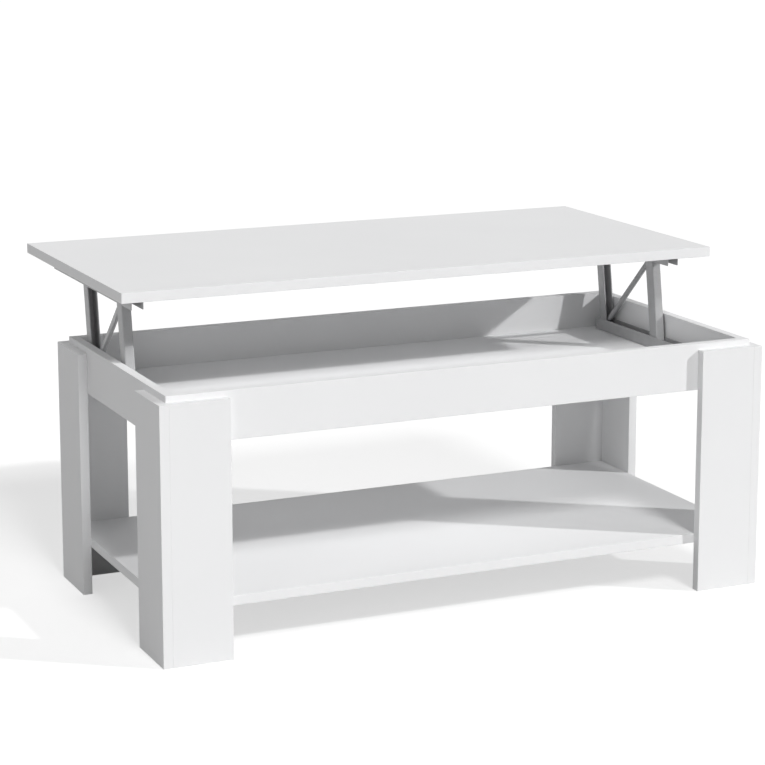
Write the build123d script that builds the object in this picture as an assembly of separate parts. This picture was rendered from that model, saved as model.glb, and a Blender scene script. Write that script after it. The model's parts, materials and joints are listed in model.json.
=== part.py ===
from build123d import *
from math import asin, atan2, cos, degrees, hypot, pi, radians, sin, sqrt
import os

os.makedirs("parts", exist_ok=True)

# Coffee table with a top that lifts up and forward on two parallelogram fittings.
# Millimetres, +Z up. X runs along the table and +Y is the way the top travels when it rises.
# The table is modelled with its top raised. Places in Y are counted from the middle of the base.

# Boards
table_length = 1020
table_depth = 500
board = 15  # legs, tray and shelf
top_board = 16
edge_ease = 0.3  # chamfer along every board edge
leg_height = 396
leg_width = 110  # each board of an L-shaped leg, measured outside
tray_height = 75
rim_rise = 10  # tray rim above the leg tops
shelf_height = 78  # floor to the underside of the shelf
top_gap = 0.4  # closed top above the rim

# Small fasteners have flats in place of round sides
fastener_side_count = 6

# Dowels between legs, tray and shelf
dowel_diameter = 8
dowel_play = 0.05  # all round
dowel_in_face = 9  # depth in the face of a board
dowel_in_edge = 21  # depth in the edge of the shelf
dowel_inset = 40  # from the free edge of a leg board

# Folded steel of the lift fittings
sheet = 1.5
bend_radius = 1.2  # at the middle of the sheet
rail_width = 20
rail_height = 21
rail_length = 400
rail_gap = 1.0  # between a rail and the side of the tray
pivot_height = 14  # pivots from the outside of a rail's web
front_pivot = 6
rear_pivot = 178
arm_length = 144.2  # pivot to pivot
arm_depth = 22
raised_lean = 9.0  # degrees past upright
stop_gap = 0.1  # heel of an arm over the web that stops it

# Pivots
pin_diameter = 6
running_play = 0.05  # radial, arm on pin
seat_play = 0.02  # radial, pin in rail
arm_play = 0.6  # between an arm and each flange of its rail

# Extension springs
wire = 2.6
wire_side_count = 3  # the wire has flats in place of a round section
coil_diameter = 9.6  # outside
coil_turns = 8
coil_lead = 12  # from a pivot to the first turn
coil_start = 225  # degrees round the coil where the first turn begins
hook_angles = (60, 165, 270)  # degrees round a pivot, from the tip of the hook to its end
bush_wall = 1.0
bush_side_count = 12  # outside
bush_play = 0.2  # at each end of a bush
hook_play = 0.3  # between hook and bush

# Rail screws
screw_diameter = 4
screw_head_diameter = 8
screw_head = 2
screw_depth = 11  # in the board
screw_play = 0.05
screw_end = 25  # last screw from the end of its rail

# Heights and places that follow
rim = leg_height + rim_rise
tray_bottom = rim - tray_height
tray_floor = tray_bottom + board
tray_x = table_length / 2 - board
tray_y = table_depth / 2 - board
closed_top = rim + top_gap

# Travel of the top
lean = radians(raised_lean)
base_pivot_z = tray_floor + pivot_height
closed_rise = closed_top - pivot_height - base_pivot_z
closed_slope = asin(closed_rise / arm_length)
lift = arm_length * cos(lean) - closed_rise
shift = arm_length * (sin(lean) + cos(closed_slope))
raised_top = closed_top + lift
raised_reach = arm_length * sin(lean)
top_pivot_z = raised_top - pivot_height

# Widths inside the fittings
rail_x = tray_x - board - rail_gap - rail_width / 2
arm_width = rail_width - 2 * sheet - 2 * arm_play
bush_length = arm_width - 2 * sheet - 2 * bush_play
bush_radius = pin_diameter / 2 + running_play + bush_wall
pilot_radius = screw_diameter / 2 + screw_play
pilot_depth = screw_depth + screw_play

# The part's own frame has its origin on the floor, under the middle of the raised table.
to_frame = Pos(0, -shift / 2, 0)
raised = Pos(0, shift, lift)
pieces = {}


def span_box(x0, x1, y0, y1, z0, z1):
    """A plain block between two corners."""
    middle = Pos((x0 + x1) / 2, (y0 + y1) / 2, (z0 + z1) / 2)
    return middle * Box(abs(x1 - x0), abs(y1 - y0), abs(z1 - z0))


def panel(*corners):
    """A board with eased edges."""
    block = span_box(*corners)
    return chamfer(block.edges(), edge_ease)


def bar(x, y, z, axis, section, start, end):
    """A section on the axis through (x, y, z), run from start to end along that axis."""
    turned = {Axis.X: Rot(0, 90, 0), Axis.Y: Rot(-90, 0, 0), Axis.Z: Rot(0, 0, 0)}[axis]
    return Pos(x, y, z) * turned * Pos(0, 0, start) * extrude(section, end - start)


def rod(x, y, z, axis, radius, start, end):
    """A round bar."""
    return bar(x, y, z, axis, Circle(radius), start, end)


def peg(x, y, z, axis, radius, start, end):
    """A bar with flat sides, for the small fasteners and their holes."""
    return bar(x, y, z, axis, RegularPolygon(radius, fastener_side_count), start, end)


def leg_joints():
    """Each dowel of the legs: its place on the joint, its axis and way outwards, and its depth inside."""
    tray_z = (tray_bottom + leg_height) / 2
    shelf_z = shelf_height + board / 2
    inset = leg_width - dowel_inset
    for sx in (-1, 1):
        for sy in (-1, 1):
            face_x = sx * (table_length / 2 - inset)
            side_y = sy * (table_depth / 2 - inset)
            for z, depth in ((tray_z, dowel_in_face), (shelf_z, dowel_in_edge)):
                yield (face_x, sy * tray_y, z), Axis.Y, sy, depth
                yield (sx * tray_x, side_y, z), Axis.X, sx, depth


def leg_dowels(z_low, z_high, play=0):
    """The dowels between two heights, or their holes when play is given."""
    bars = []
    for place, axis, way, depth in leg_joints():
        if z_low < place[2] < z_high:
            ends = sorted((way * (dowel_in_face + play), -way * (depth + play)))
            bars.append(peg(*place, axis, dowel_diameter / 2 + play, *ends))
    return bars


def make_boards():
    """Legs, tray and shelf, in their places on the floor."""
    boards = {}
    out_x, out_y = table_length / 2, table_depth / 2
    for y_name, sy in (("front", -1), ("rear", 1)):
        wall_y = sy * tray_y
        boards[f"tray_{y_name}_panel"] = panel(
            -tray_x, tray_x, wall_y, wall_y - sy * board, tray_bottom, rim
        )
        for x_name, sx in (("left", -1), ("right", 1)):
            name = f"{y_name}_{x_name}_leg"
            foot_x, foot_y = sx * (out_x - leg_width), sy * (out_y - leg_width)
            boards[name + "_side"] = panel(sx * tray_x, sx * out_x, foot_y, sy * out_y, 0, leg_height)
            boards[name + "_face"] = panel(foot_x, sx * tray_x, sy * tray_y, sy * out_y, 0, leg_height)
    side_y = tray_y - board
    for x_name, sx in (("left", -1), ("right", 1)):
        wall_x = sx * tray_x
        boards[f"tray_{x_name}_panel"] = panel(
            wall_x, wall_x - sx * board, -side_y, side_y, tray_bottom, rim
        )
    floor_x = tray_x - board
    boards["tray_floor"] = panel(-floor_x, floor_x, -side_y, side_y, tray_bottom, tray_floor)
    boards["lower_shelf"] = panel(-tray_x, tray_x, -tray_y, tray_y, shelf_height, shelf_height + board)
    holes = leg_dowels(0, rim, dowel_play)
    for name in boards:
        if name != "tray_floor":
            boards[name] = boards[name] - holes
    return boards


def channel_section(width, depth):
    """Section of a folded channel: its web lies on the X axis and it is open towards +Y."""
    half = (width - sheet) / 2
    line = FilletPolyline(
        (-half, depth), (-half, sheet / 2), (half, sheet / 2), (half, depth), radius=bend_radius
    )
    return trace(line, sheet)


def screw_places(pivots, far_end):
    """Rail screws: between the pivots, between the last pivot and the far end, and near that end."""
    near = max(pivots) if far_end > 0 else min(pivots)
    way = 1 if far_end > 0 else -1
    return [sum(pivots) / 2, (near + far_end) / 2, far_end - way * screw_end]


def rail(pivots, screws):
    """A channel along Y with its web down on the ground plane, bored for its pivots and screws."""
    body = extrude(Plane.XZ * channel_section(rail_width, rail_height), rail_length / 2, both=True)
    for y in pivots:
        body -= rod(0, y, pivot_height, Axis.X, pin_diameter / 2 + seat_play, -rail_width, rail_width)
    for y in screws:
        body -= peg(0, y, 0, Axis.Z, pilot_radius, -sheet, 2 * sheet)
    return body


def heel():
    """How far the square heel of an arm reaches past its pivot to stop on the web of a rail."""
    to_web = pivot_height - sheet - stop_gap
    return (to_web - arm_depth / 2 * sin(lean)) / cos(lean)


def arm():
    """A rear arm, upright on its lower pivot: a channel open to the front, its heel at the lower rear."""
    half = arm_depth / 2
    section = Pos(0, half, 0) * Rot(0, 0, 180) * channel_section(arm_width, arm_depth)
    channel = extrude(Pos(0, 0, -arm_depth) * section, arm_length + 2 * arm_depth)
    top = (0, arm_length + half)
    outline = [
        Line((half, arm_length), (half, -heel())),
        Line((half, -heel()), (0, -heel())),
        TangentArc((0, -heel()), (-half, 0), tangent=(-1, 0)),
        Line((-half, 0), (-half, arm_length)),
        ThreePointArc((-half, arm_length), top, (half, arm_length)),
    ]
    profile = Plane.YZ * make_face(outline)
    body = channel & extrude(profile, arm_width, both=True)
    for z in (0, arm_length):
        body -= rod(0, 0, z, Axis.X, pin_diameter / 2 + running_play, -arm_width, arm_width)
    return body


def pin():
    """A pivot pin along X, centred on its rail and riveted flush with its flanges."""
    return rod(0, 0, 0, Axis.X, pin_diameter / 2, -rail_width / 2, rail_width / 2)


def bush():
    """A moulded collar round the X axis for the hook of a spring."""
    section = RegularPolygon(bush_radius, bush_side_count) - Circle(pin_diameter / 2 + running_play)
    return extrude(Plane.YZ * section, bush_length / 2, both=True)


def screw():
    """A rail screw pointing down, the underside of its head on the ground plane."""
    shank = peg(0, 0, 0, Axis.Z, screw_diameter / 2, -sheet - screw_depth, 0)
    return shank + peg(0, 0, 0, Axis.Z, screw_head_diameter / 2, 0, screw_head)


def biarc(start, start_way, end, end_way):
    """Two arcs that leave start one way, meet smoothly and arrive at end the other way."""
    chord = end - start
    spread = 2 * (1 - start_way.dot(end_way))
    along = chord.dot(start_way + end_way)
    reach = (sqrt(along * along + spread * chord.dot(chord)) - along) / spread
    leave = start + start_way * reach
    arrive = end - end_way * reach
    middle = (leave + arrive) * 0.5
    middle_way = (arrive - leave).normalized()
    return [Edge.make_tangent_arc(start, start_way, middle), Edge.make_tangent_arc(middle, middle_way, end)]


def spring_knots(length):
    """Points and directions along a spring that lies on +X between its pins: hook, turns, hook."""
    hook = bush_radius + hook_play + wire / 2
    coil = (coil_diameter - wire) / 2
    quarter = pi / 2
    steps = [0] + [quarter + pi * i for i in range(2 * coil_turns + 1)]
    climb = (length - 2 * coil_lead) / steps[-1]
    lower = []
    for angle in map(radians, hook_angles):
        lower.append((Vector(cos(angle), sin(angle), 0) * hook, Vector(-sin(angle), cos(angle), 0)))
    turns = []
    for step in steps:
        angle = radians(coil_start) + step
        place = Vector(coil_lead + climb * step, coil * cos(angle), coil * sin(angle))
        turns.append((place, Vector(climb, -coil * sin(angle), coil * cos(angle)).normalized()))
    upper = [(Vector(length - p.X, -p.Y, p.Z), Vector(w.X, w.Y, -w.Z)) for p, w in reversed(lower)]
    return lower + turns + upper


def least_gap(edges):
    """Least clear distance between stretches of the wire that aren't neighbours along it."""
    samples = 6
    points = [edge @ (i / samples) for edge in edges for i in range(samples)]
    near = pi * coil_diameter / 2
    walked = [0]
    for a, b in zip(points, points[1:]):
        walked.append(walked[-1] + (b - a).length)
    gaps = [
        (points[i] - points[j]).length
        for i in range(len(points))
        for j in range(i)
        if walked[i] - walked[j] > near
    ]
    return min(gaps) - wire


def spring(length):
    """An extension spring on +X, one wire from hook to hook."""
    knots = spring_knots(length)
    edges = []
    for (start, start_way), (end, end_way) in zip(knots, knots[1:]):
        edges += biarc(start, start_way, end, end_way)
    print("least gap between turns of a spring:", round(least_gap(edges), 2))
    path = Wire(edges)
    start = Plane(origin=path @ 0, x_dir=(0, 0, 1), z_dir=path % 0)
    return sweep(start * RegularPolygon(wire / 2, wire_side_count), path=path, clean=False)


# Pivots of the fittings, in Y. The top's own are given with the top closed.
base_pivots = (front_pivot, rear_pivot)
closed_reach = arm_length * cos(closed_slope)
top_pivots = tuple(y - closed_reach for y in base_pivots)
base_screws = screw_places(base_pivots, -rail_length / 2)
top_screws = screw_places(top_pivots, rail_length / 2)

# Boards
boards = make_boards()
for sx in (-1, 1):
    for y in base_screws:
        boards["tray_floor"] -= peg(sx * rail_x, y, tray_floor, Axis.Z, pilot_radius, -pilot_depth, board)
pieces.update(boards)
pieces["tray_dowels"] = leg_dowels(tray_bottom, rim)
pieces["shelf_dowels"] = leg_dowels(0, tray_bottom)

# Top, drawn closed and then raised
top = panel(
    -table_length / 2,
    table_length / 2,
    -table_depth / 2,
    table_depth / 2,
    closed_top,
    closed_top + top_board,
)
for sx in (-1, 1):
    for y in top_screws:
        top -= peg(sx * rail_x, y, closed_top, Axis.Z, pilot_radius, -board, pilot_depth)
pieces["table_top"] = raised * top

# Rails and arms
base_rail = rail(base_pivots, base_screws)
top_rail = Rot(180, 0, 0) * rail([-y for y in top_pivots], [-y for y in top_screws])
rear_arm = Rot(-raised_lean, 0, 0) * arm()
front_arm = Rot(-raised_lean, 0, 0) * Pos(0, 0, arm_length) * Rot(180, 0, 0) * arm()

# Springs run from the rear arm's lower pivot to the front arm's upper pivot
spring_rise = top_pivot_z - base_pivot_z
spring_run = front_pivot + raised_reach - rear_pivot
spring_length = hypot(spring_run, spring_rise)
spring_slope = degrees(atan2(spring_rise, spring_run))
spring_line = Plane(origin=(0, 0, 0), x_dir=(0, spring_run, spring_rise), z_dir=(1, 0, 0))
lift_spring = spring_line * spring(spring_length)

for side, sx in (("left", -1), ("right", 1)):
    x = sx * rail_x
    base_places = [Pos(x, y, base_pivot_z) for y in base_pivots]
    top_places = [Pos(x, y + raised_reach, top_pivot_z) for y in base_pivots]
    pieces[f"{side}_base_rail"] = Pos(x, 0, tray_floor) * base_rail
    pieces[f"{side}_top_rail"] = raised * Pos(x, 0, closed_top) * top_rail
    pieces[f"{side}_front_arm"] = base_places[0] * front_arm
    pieces[f"{side}_rear_arm"] = base_places[1] * rear_arm
    pieces[f"{side}_lift_spring"] = base_places[1] * lift_spring
    pieces[f"{side}_lower_spring_bush"] = base_places[1] * bush()
    pieces[f"{side}_upper_spring_bush"] = top_places[0] * bush()
    pieces[f"{side}_base_pins"] = [place * pin() for place in base_places]
    pieces[f"{side}_top_pins"] = [place * pin() for place in top_places]
    pieces[f"{side}_base_rail_screws"] = [Pos(x, y, tray_floor + sheet) * screw() for y in base_screws]
    pieces[f"{side}_top_rail_screws"] = [
        raised * Pos(x, y, closed_top - sheet) * Rot(180, 0, 0) * screw() for y in top_screws
    ]

for name, piece in pieces.items():
    group = piece if isinstance(piece, list) else [piece]
    solids = [to_frame * solid for shape in group for solid in shape.solids()]
    export_step(solids[0] if len(solids) == 1 else Compound(solids), f"parts/{name}.step")

print("lift:", round(lift, 2), "shift:", round(shift, 2))
print("raised height:", round(raised_top + top_board, 2))
print("swing:", round(90 + raised_lean - degrees(closed_slope), 3))
print("spring:", round(spring_length, 2), "at", round(spring_slope, 3))
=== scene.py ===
import json
from math import cos, pi, radians, sin, tau

import bmesh
import bpy
from mathutils import Matrix, Vector


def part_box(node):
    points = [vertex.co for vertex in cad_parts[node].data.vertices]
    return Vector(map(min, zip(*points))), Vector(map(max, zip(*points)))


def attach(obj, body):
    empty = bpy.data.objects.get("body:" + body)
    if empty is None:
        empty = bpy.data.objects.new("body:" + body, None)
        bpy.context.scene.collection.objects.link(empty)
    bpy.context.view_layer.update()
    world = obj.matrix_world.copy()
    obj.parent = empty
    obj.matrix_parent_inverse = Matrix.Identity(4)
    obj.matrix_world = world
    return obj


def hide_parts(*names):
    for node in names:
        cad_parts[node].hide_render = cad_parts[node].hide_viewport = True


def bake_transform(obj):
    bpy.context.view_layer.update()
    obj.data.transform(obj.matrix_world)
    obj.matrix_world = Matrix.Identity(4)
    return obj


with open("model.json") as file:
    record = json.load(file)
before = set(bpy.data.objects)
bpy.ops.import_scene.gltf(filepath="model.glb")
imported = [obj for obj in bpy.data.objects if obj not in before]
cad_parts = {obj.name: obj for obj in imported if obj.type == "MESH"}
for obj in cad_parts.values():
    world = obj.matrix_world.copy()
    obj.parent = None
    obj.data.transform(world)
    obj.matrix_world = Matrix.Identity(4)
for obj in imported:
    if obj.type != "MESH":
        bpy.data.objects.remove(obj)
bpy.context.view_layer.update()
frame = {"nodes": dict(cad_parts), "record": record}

# Lift top coffee table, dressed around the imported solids. Metres, +Z up.
nodes = frame["nodes"]
sides = ("left", "right")

# Springs, wound close
wire = 0.0026
coil_diameter = 0.0096
coil_lead = 0.012  # from a pivot to the first turn
pitch_share = 1.02  # of the wire, so that the turns all but touch
coil_pitch = pitch_share * wire
coil_start = radians(225)
part_turn = 0.25  # over a whole number of turns
hook_radius = 0.00565
hook_start, hook_end = radians(60), radians(270)
join_pull = 1.3  # how far the wire keeps the way of a hook or a coil between them
turn_steps = 20
wire_sides = 8

# Screws
screw_radius = 0.002
screw_head_radius = 0.004
screw_head = 0.002  # its height
screw_rim = 0.0007  # side of the head, below its dome
screw_point = 0.005  # length of the tapered end
screw_tip_radius = 0.0004
screw_turn = 1.1  # radians from one recess to the next, so that no two end the same way
recess_width = 0.0005  # half of it
recess_reach = 0.0023  # from the middle to the end of an arm
recess_depth = 0.0011  # in the middle
recess_taper = 0.6  # share of the depth that is lost along an arm
head_rings = 12
round_steps = 48

# Camera of the photograph, placed from the middle of the base
# Angles are in degrees, lens and sensor in millimetres
camera_place = Vector((-1.595, -3.425, 1.186))
camera_yaw = 24.34
camera_pitch = 10.91
camera_lens = 112.7
camera_sensor = 36
camera_shift_y = -0.1
camera_reach = 100  # the furthest that it sees

# Light and floor
sky_low, sky_high = 0.14, 0.12  # at the horizon and overhead
glow_way = Vector((-0.10, 0.95, -0.30))  # to a wide low glow behind the table
sky_glow = 0.80  # added to the sky there, fading to none at a right angle to it
# Each lamp: the way to it, its level and its spread in degrees
# At a level of 1.0 in all, a colour shows as it is written
lamps = {
    "side_lamp": (Vector((0.72, -0.51, 0.47)), 0.60, 2.0),
    "front_lamp": (Vector((0.0, -0.70, 0.714)), 0.45, 14.0),
    "left_lamp": (Vector((-0.86, -0.40, 0.32)), 0.105, 30.0),
}
lamp_distance = 5
floor_reach = 40  # from its middle to its edges
floor_tone = 0.55
floor_lift = 0.585  # added to the floor where the camera sees it

# Finishes
grey_tint = (1.0, 1.005, 1.02)  # greys lean a little to blue
edge_samples = 4


def middle(node):
    """Centre of a CAD node's box."""
    low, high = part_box(node)
    return (low + high) / 2


base_middle = middle("lower_shelf")
base_origin = Vector((base_middle.x, base_middle.y, 0))


# Materials


class Shade:
    """A material being built: its nodes, its links and its shader."""

    def __init__(self, name):
        self.material = bpy.data.materials.new(name)
        self.material.use_nodes = True
        self.tree = self.material.node_tree
        self.shader = self.tree.nodes["Principled BSDF"]
        self.place = self.add("ShaderNodeTexCoord").outputs["Object"]

    def add(self, kind, **settings):
        """A node with its own settings."""
        node = self.tree.nodes.new(kind)
        for key, value in settings.items():
            setattr(node, key, value)
        return node

    def link(self, source, target):
        """One socket leads to another."""
        self.tree.links.new(source, target)

    def stretched(self, scale):
        """Object coordinates scaled along each axis."""
        mapping = self.add("ShaderNodeMapping")
        mapping.inputs["Scale"].default_value = scale
        self.link(self.place, mapping.inputs["Vector"])
        return mapping.outputs["Vector"]

    def noise(self, scale, detail=2.0, roughness=0.5, place=None):
        """Noise between 0 and 1, with so many bumps to a metre."""
        node = self.add("ShaderNodeTexNoise")
        node.inputs["Scale"].default_value = scale
        node.inputs["Detail"].default_value = detail
        node.inputs["Roughness"].default_value = roughness
        self.link(place or self.place, node.inputs["Vector"])
        return node.outputs["Fac"]

    def between(self, value, low, high, start=0.0, end=1.0):
        """A value's range from start to end, spread from low to high."""
        node = self.add("ShaderNodeMapRange", clamp=True)
        self.link(value, node.inputs["Value"])
        node.inputs["From Min"].default_value = start
        node.inputs["From Max"].default_value = end
        node.inputs["To Min"].default_value = low
        node.inputs["To Max"].default_value = high
        return node.outputs["Result"]

    def edges(self, radius):
        """1 along sharp edges within the radius, 0 on the flat."""
        bevel = self.add("ShaderNodeBevel", samples=edge_samples)
        bevel.inputs["Radius"].default_value = radius
        flat = self.add("ShaderNodeNewGeometry").outputs["Normal"]
        dot = self.add("ShaderNodeVectorMath", operation="DOT_PRODUCT")
        self.link(bevel.outputs["Normal"], dot.inputs[0])
        self.link(flat, dot.inputs[1])
        return self.between(dot.outputs["Value"], low=1.0, high=0.0, start=0.80, end=0.995)

    def mixed(self, factor, first, second):
        """A colour from first to second as the factor goes from 0 to 1."""
        node = self.add("ShaderNodeMix", data_type="RGBA")
        self.link(factor, node.inputs["Factor"])
        for socket, colour in ((node.inputs["A"], first), (node.inputs["B"], second)):
            if isinstance(colour, bpy.types.NodeSocket):
                self.link(colour, socket)
            else:
                socket.default_value = (*colour, 1.0)
        return node.outputs["Result"]

    def times(self, first, second):
        """Two values multiplied."""
        node = self.add("ShaderNodeMath", operation="MULTIPLY")
        self.link(first, node.inputs[0])
        self.link(second, node.inputs[1])
        return node.outputs["Value"]

    def bump(self, height, strength, distance):
        """Bumps on the shader's normal, added to those made before."""
        node = self.add("ShaderNodeBump")
        node.inputs["Strength"].default_value = strength
        node.inputs["Distance"].default_value = distance
        self.link(height, node.inputs["Height"])
        before = self.shader.inputs["Normal"]
        if before.is_linked:
            self.link(before.links[0].from_socket, node.inputs["Normal"])
        self.link(node.outputs["Normal"], before)


def grey(level):
    """A grey in the common tint."""
    return tuple(share * level for share in grey_tint)


def board_white():
    """White melamine: a fine pebble, faint clouds and edges rubbed a little grey."""
    shade = Shade("board_white")
    white, whiter, rubbed = (0.850, 0.852, 0.858), (0.875, 0.877, 0.882), (0.76, 0.757, 0.752)
    clouds = shade.noise(scale=3, detail=4)
    face = shade.mixed(shade.between(clouds, low=0, high=1, start=0.3, end=0.7), white, whiter)
    edges = shade.edges(radius=0.0012)
    patches = shade.between(shade.noise(scale=60, detail=3), low=0.05, high=0.5, start=0.35, end=0.65)
    colour = shade.mixed(shade.times(edges, patches), face, rubbed)
    shade.link(colour, shade.shader.inputs["Base Color"])
    smears = shade.noise(scale=11, detail=5, roughness=0.6)
    rough = shade.between(smears, low=0.72, high=0.80, start=0.3, end=0.7)
    shade.link(rough, shade.shader.inputs["Roughness"])
    shade.shader.inputs["Specular IOR Level"].default_value = 0.2
    shade.bump(shade.noise(scale=1400), strength=0.10, distance=0.0002)
    shade.bump(shade.noise(scale=160), strength=0.05, distance=0.0004)
    return shade.material


def steel(name, dark, light, metallic, rough, grain_scale):
    """Sheet or wire of two greys, with a drawn grain, cloudy plating and brighter edges."""
    shade = Shade(name)
    speck, bare = grey(0.8 * dark), grey(1.3 * light)
    clouds = shade.noise(scale=45, detail=4, roughness=0.6)
    face = shade.mixed(shade.between(clouds, low=0, high=1, start=0.3, end=0.7), grey(dark), grey(light))
    specks = shade.between(shade.noise(scale=900, detail=1), low=0.0, high=0.5, start=0.62, end=0.75)
    speckled = shade.mixed(specks, face, speck)
    edges = shade.edges(radius=0.0009)
    patches = shade.between(shade.noise(scale=140, detail=3), low=0.1, high=0.9, start=0.35, end=0.65)
    colour = shade.mixed(shade.times(edges, patches), speckled, bare)
    shade.link(colour, shade.shader.inputs["Base Color"])
    grain = shade.noise(scale=1, detail=3, roughness=0.6, place=shade.stretched(grain_scale))
    low, high = rough
    shade.link(shade.between(grain, low, high, start=0.3, end=0.7), shade.shader.inputs["Roughness"])
    shade.bump(grain, strength=0.12, distance=0.0001)
    shade.bump(shade.noise(scale=1200), strength=0.06, distance=0.0001)
    shade.shader.inputs["Metallic"].default_value = metallic
    return shade.material


def bush_black():
    """Moulded black plastic with a fine spark-eroded skin."""
    shade = Shade("bush_black")
    clouds = shade.noise(scale=300, detail=3)
    shade.link(shade.mixed(clouds, grey(0.018), grey(0.032)), shade.shader.inputs["Base Color"])
    shade.link(shade.between(clouds, low=0.42, high=0.58), shade.shader.inputs["Roughness"])
    shade.bump(shade.noise(scale=3000), strength=0.2, distance=0.0001)
    return shade.material


def dowel_beech():
    """Beech with a close straight grain."""
    shade = Shade("dowel_beech")
    dark, light = (0.46, 0.29, 0.15), (0.66, 0.46, 0.28)
    grain = shade.noise(scale=1, detail=4, roughness=0.6, place=shade.stretched((300, 300, 40)))
    shade.link(shade.mixed(grain, dark, light), shade.shader.inputs["Base Color"])
    shade.link(shade.between(grain, low=0.55, high=0.72), shade.shader.inputs["Roughness"])
    shade.bump(grain, strength=0.2, distance=0.0002)
    return shade.material


materials = {
    "white_board": board_white(),
    "dowel_wood": dowel_beech(),
    "coated_steel": steel(
        "coated_steel", dark=0.41, light=0.46, metallic=0.15,
        rough=(0.42, 0.56), grain_scale=(400, 14, 400),
    ),
    "screw_steel": steel(
        "screw_steel", dark=0.45, light=0.56, metallic=0.95,
        rough=(0.22, 0.38), grain_scale=(900, 900, 900),
    ),
    "spring_steel": steel(
        "spring_steel", dark=0.40, light=0.50, metallic=0.45,
        rough=(0.30, 0.46), grain_scale=(600, 600, 600),
    ),
    "bush_plastic": bush_black(),
}


def dress(piece, slot):
    """Gives a piece one of the record's finishes."""
    piece.data.materials.clear()
    piece.data.materials.append(materials[slot])


for entry in frame["record"]["subparts"]:
    dress(nodes[entry["node"]], entry["material_slot"])


# Meshes


def new_piece(name, shape, slot):
    """A finished mesh as a piece of the scene."""
    bmesh.ops.recalc_face_normals(shape, faces=shape.faces)
    mesh = bpy.data.meshes.new(name)
    shape.to_mesh(mesh)
    shape.free()
    piece = bpy.data.objects.new(name, mesh)
    bpy.context.scene.collection.objects.link(piece)
    dress(piece, slot)
    return piece


def ring_face(shape, first, second):
    """Faces between two closed rows of points."""
    count = len(first)
    for i in range(count):
        j = (i + 1) % count
        face = shape.faces.new((first[i], first[j], second[j], second[i]))
        face.smooth = True


def ring_solid(shape, rows):
    """A solid from closed rows of points, its ends closed by flat faces."""
    rings = []
    for row in rows:
        rings.append([shape.verts.new(point) for point in row])
    for first, second in zip(rings, rings[1:]):
        ring_face(shape, first, second)
    shape.faces.new(rings[0])
    shape.faces.new(rings[-1])


def tube(shape, points, radius, corners):
    """A round wire along points, closed at both ends."""
    way = (points[1] - points[0]).normalized()
    across = way.orthogonal().normalized()
    rows = []
    for i, point in enumerate(points):
        ahead = points[min(i + 1, len(points) - 1)] - points[max(i - 1, 0)]
        turn = way.rotation_difference(ahead.normalized())
        way = ahead.normalized()
        across = (turn @ across).normalized()
        beside = way.cross(across)
        row = []
        for k in range(corners):
            angle = tau * k / corners
            row.append(point + radius * (cos(angle) * across + sin(angle) * beside))
        rows.append(row)
    ring_solid(shape, rows)


# Springs


def smooth_join(start, start_way, end, end_way, steps):
    """Points on a cubic that leaves start and arrives at end along the given ways, ends left out."""
    pull = join_pull * (end - start).length
    points = []
    for i in range(1, steps):
        t = i / steps
        points.append(
            start * (2 * t**3 - 3 * t**2 + 1)
            + start_way * pull * (t**3 - 2 * t**2 + t)
            + end * (3 * t**2 - 2 * t**3)
            + end_way * pull * (t**3 - t**2)
        )
    return points


def spring_points(length):
    """Centre line of a close-wound spring on +X between two pins."""
    coil = (coil_diameter - wire) / 2
    wound = length - 2 * coil_lead
    turns = int(wound / coil_pitch - part_turn) + part_turn
    climb = wound / (tau * turns)
    hook = []
    for i in range(turn_steps + 1):
        angle = hook_start + (hook_end - hook_start) * i / turn_steps
        hook.append(Vector((hook_radius * cos(angle), hook_radius * sin(angle), 0)))
    coil_points = []
    coil_steps = round(turns * turn_steps)
    for i in range(coil_steps + 1):
        step = tau * turns * i / coil_steps
        angle = coil_start + step
        coil_points.append(Vector((coil_lead + climb * step, coil * cos(angle), coil * sin(angle))))
    leave = Vector((-sin(hook_end), cos(hook_end), 0))
    arrive = (coil_points[1] - coil_points[0]).normalized()
    join = smooth_join(hook[-1], leave, coil_points[0], arrive, turn_steps)
    first_end = hook + join
    last_end = [Vector((length - p.x, -p.y, p.z)) for p in reversed(first_end)]
    return first_end + coil_points + last_end


def make_spring(side):
    """The spring of one side, wound between its lower pivot and its upper one where they stand."""
    lower, upper = middle(f"{side}_lower_spring_bush"), middle(f"{side}_upper_spring_bush")
    along = (upper - lower).normalized()
    beside = Vector((1, 0, 0))
    up = beside.cross(along)
    turn = Matrix((along, up, beside)).transposed().to_4x4()
    place = Matrix.Translation(lower) @ turn
    points = [place @ p for p in spring_points((upper - lower).length)]
    shape = bmesh.new()
    tube(shape, points, wire / 2, wire_sides)
    piece = new_piece(f"{side}_wound_spring", shape, "spring_steel")
    start, end = lower + along * coil_lead, upper - along * coil_lead
    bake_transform(piece)
    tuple(start)
    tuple(end)
    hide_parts(f"{side}_lift_spring")


# Screws


def recess(x, y):
    """How deep the cross recess is at a place on a screw's head."""
    along, across = max(abs(x), abs(y)), min(abs(x), abs(y))
    if across > recess_width or along > recess_reach:
        return 0
    return recess_depth * (1 - recess_taper * along / recess_reach)


def screw_rings(length):
    """Rows of points of a screw along Z, from its point up to the middle of its head."""
    shank = [(screw_tip_radius, -length), (screw_radius, screw_point - length), (screw_radius, 0)]
    head = [(screw_head_radius, 0)]
    for i in range(head_rings):
        share = 1 - i / head_rings
        head.append((screw_head_radius * share, screw_rim + (screw_head - screw_rim) * (1 - share**2)))
    for radius, height in shank + head:
        ring = []
        for k in range(round_steps):
            angle = tau * k / round_steps
            x, y = radius * cos(angle), radius * sin(angle)
            dent = recess(x, y) if height >= screw_rim else 0
            ring.append(Vector((x, y, height - dent)))
        yield ring


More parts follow.
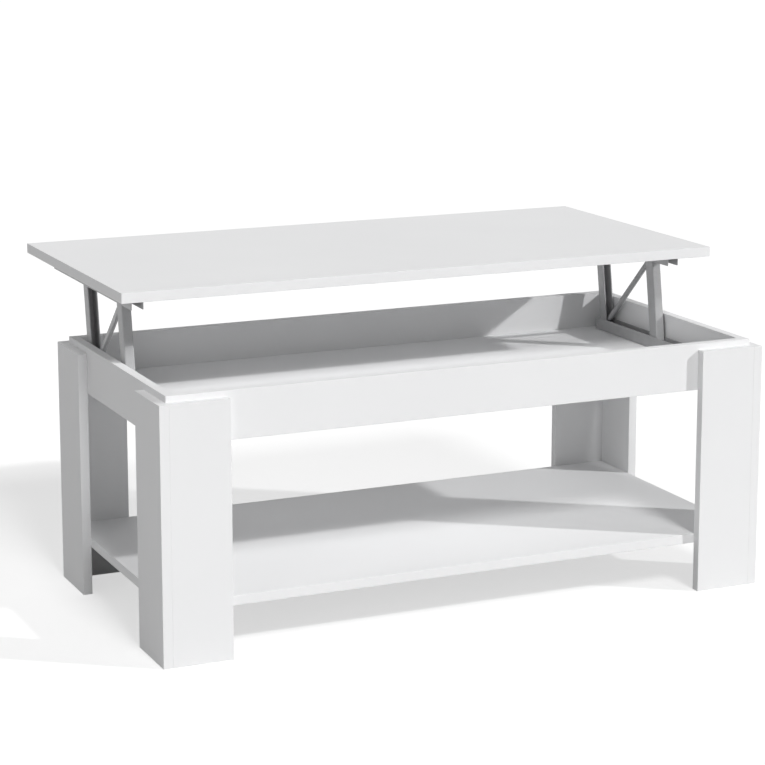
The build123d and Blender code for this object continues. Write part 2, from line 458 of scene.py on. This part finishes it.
def screw_places(node):
    """Middles along Y of the screws of one rail, which stand well apart."""
    found = []
    for y in sorted(v.co.y for v in nodes[node].data.vertices):
        if not found or y - found[-1][-1] > 2 * screw_head_radius:
            found.append([])
        found[-1].append(y)
    return [(row[0] + row[-1]) / 2 for row in found]


def make_screws(side, level, up):
    """Round cross-head screws in place of the plain ones of one rail, their heads up or down."""
    node = f"{side}_{level}_rail_screws"
    low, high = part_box(node)
    seat = high.z - screw_head if up else low.z + screw_head
    turn = Matrix() if up else Matrix.Rotation(pi, 4, "X")
    shape = bmesh.new()
    for i, y in enumerate(screw_places(node)):
        stopped = Matrix.Rotation(screw_turn * i, 4, "Z")
        place = Matrix.Translation(((low.x + high.x) / 2, y, seat)) @ turn @ stopped
        rings = screw_rings(high.z - low.z - screw_head)
        ring_solid(shape, [[place @ point for point in ring] for ring in rings])
    piece = new_piece(f"{side}_{level}_cross_screws", shape, "screw_steel")
    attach(piece, level)
    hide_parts(node)


for side in sides:
    make_spring(side)
    make_screws(side, "base", True)
    make_screws(side, "top", False)


# Floor, light and camera


def light_path(tree):
    """1 where the camera looks, straight or by way of a reflection, and 0 for the light on things."""
    path = tree.nodes.new("ShaderNodeLightPath")
    value = path.outputs["Is Camera Ray"]
    for name in ("Is Glossy Ray", "Is Transmission Ray"):
        either = tree.nodes.new("ShaderNodeMath")
        either.operation = "MAXIMUM"
        tree.links.new(value, either.inputs[0])
        tree.links.new(path.outputs[name], either.inputs[1])
        value = either.outputs["Value"]
    return value


def make_floor():
    """A wide white floor that keeps the shadow."""
    shape = bmesh.new()
    bmesh.ops.create_grid(shape, x_segments=1, y_segments=1, size=floor_reach)
    mesh = bpy.data.meshes.new("floor")
    shape.to_mesh(mesh)
    shape.free()
    floor = bpy.data.objects.new("floor", mesh)
    bpy.context.scene.collection.objects.link(floor)
    material = bpy.data.materials.new("floor_white")
    material.use_nodes = True
    tree = material.node_tree
    tree.nodes.clear()
    diffuse = tree.nodes.new("ShaderNodeBsdfDiffuse")
    diffuse.inputs["Color"].default_value = (floor_tone, floor_tone, floor_tone, 1)
    glow = tree.nodes.new("ShaderNodeEmission")
    lift = tree.nodes.new("ShaderNodeMath")
    lift.operation = "MULTIPLY"
    lift.inputs[1].default_value = floor_lift
    tree.links.new(light_path(tree), lift.inputs[0])
    tree.links.new(lift.outputs["Value"], glow.inputs["Strength"])
    both = tree.nodes.new("ShaderNodeAddShader")
    tree.links.new(diffuse.outputs["BSDF"], both.inputs[0])
    tree.links.new(glow.outputs["Emission"], both.inputs[1])
    output = tree.nodes.new("ShaderNodeOutputMaterial")
    tree.links.new(both.outputs["Shader"], output.inputs["Surface"])
    mesh.materials.append(material)


def make_world():
    """White to the eye, and a dim sky with a wide glow behind to light the object."""
    world = bpy.data.worlds.new("studio")
    bpy.context.scene.world = world
    world.use_nodes = True
    tree = world.node_tree
    background = tree.nodes["Background"]
    background.inputs["Color"].default_value = (1, 1, 1, 1)
    place = tree.nodes.new("ShaderNodeTexCoord").outputs["Generated"]
    sky = tree.nodes.new("ShaderNodeMath")
    sky.operation = "ADD"
    terms = ((Vector((0, 0, 1)), sky_low, sky_high), (glow_way, 0.0, sky_glow))
    for term, (way, low, high) in zip(sky.inputs, terms):
        toward = tree.nodes.new("ShaderNodeVectorMath")
        toward.operation = "DOT_PRODUCT"
        toward.inputs[1].default_value = way
        tree.links.new(place, toward.inputs[0])
        part = tree.nodes.new("ShaderNodeMapRange")
        part.inputs["To Min"].default_value = low
        part.inputs["To Max"].default_value = high
        tree.links.new(toward.outputs["Value"], part.inputs["Value"])
        tree.links.new(part.outputs["Result"], term)
    strength = tree.nodes.new("ShaderNodeMapRange")
    tree.links.new(sky.outputs["Value"], strength.inputs["To Min"])
    strength.inputs["To Max"].default_value = 1.0
    tree.links.new(light_path(tree), strength.inputs["Value"])
    tree.links.new(strength.outputs["Result"], background.inputs["Strength"])


def make_lamp(name, way, level, spread):
    """A far soft lamp."""
    lamp = bpy.data.lights.new(name, "SUN")
    lamp.energy = pi * level
    lamp.angle = radians(spread)
    light = bpy.data.objects.new(name, lamp)
    light.location = base_origin + way * lamp_distance
    light.rotation_euler = (-way).to_track_quat("-Z", "Y").to_euler()
    bpy.context.scene.collection.objects.link(light)


def make_camera():
    """The photograph's view."""
    lens = bpy.data.cameras.new("camera")
    lens.lens = camera_lens
    lens.sensor_width = camera_sensor
    lens.shift_y = camera_shift_y
    lens.clip_end = camera_reach
    camera = bpy.data.objects.new("camera", lens)
    camera.location = base_origin + camera_place
    camera.rotation_euler = (radians(90 - camera_pitch), 0, -radians(camera_yaw))
    bpy.context.scene.collection.objects.link(camera)
    bpy.context.scene.camera = camera


make_floor()
make_world()
for name, (way, level, spread) in lamps.items():
    make_lamp(name, way, level, spread)
make_camera()
bpy.context.scene.view_settings.view_transform = "Standard"
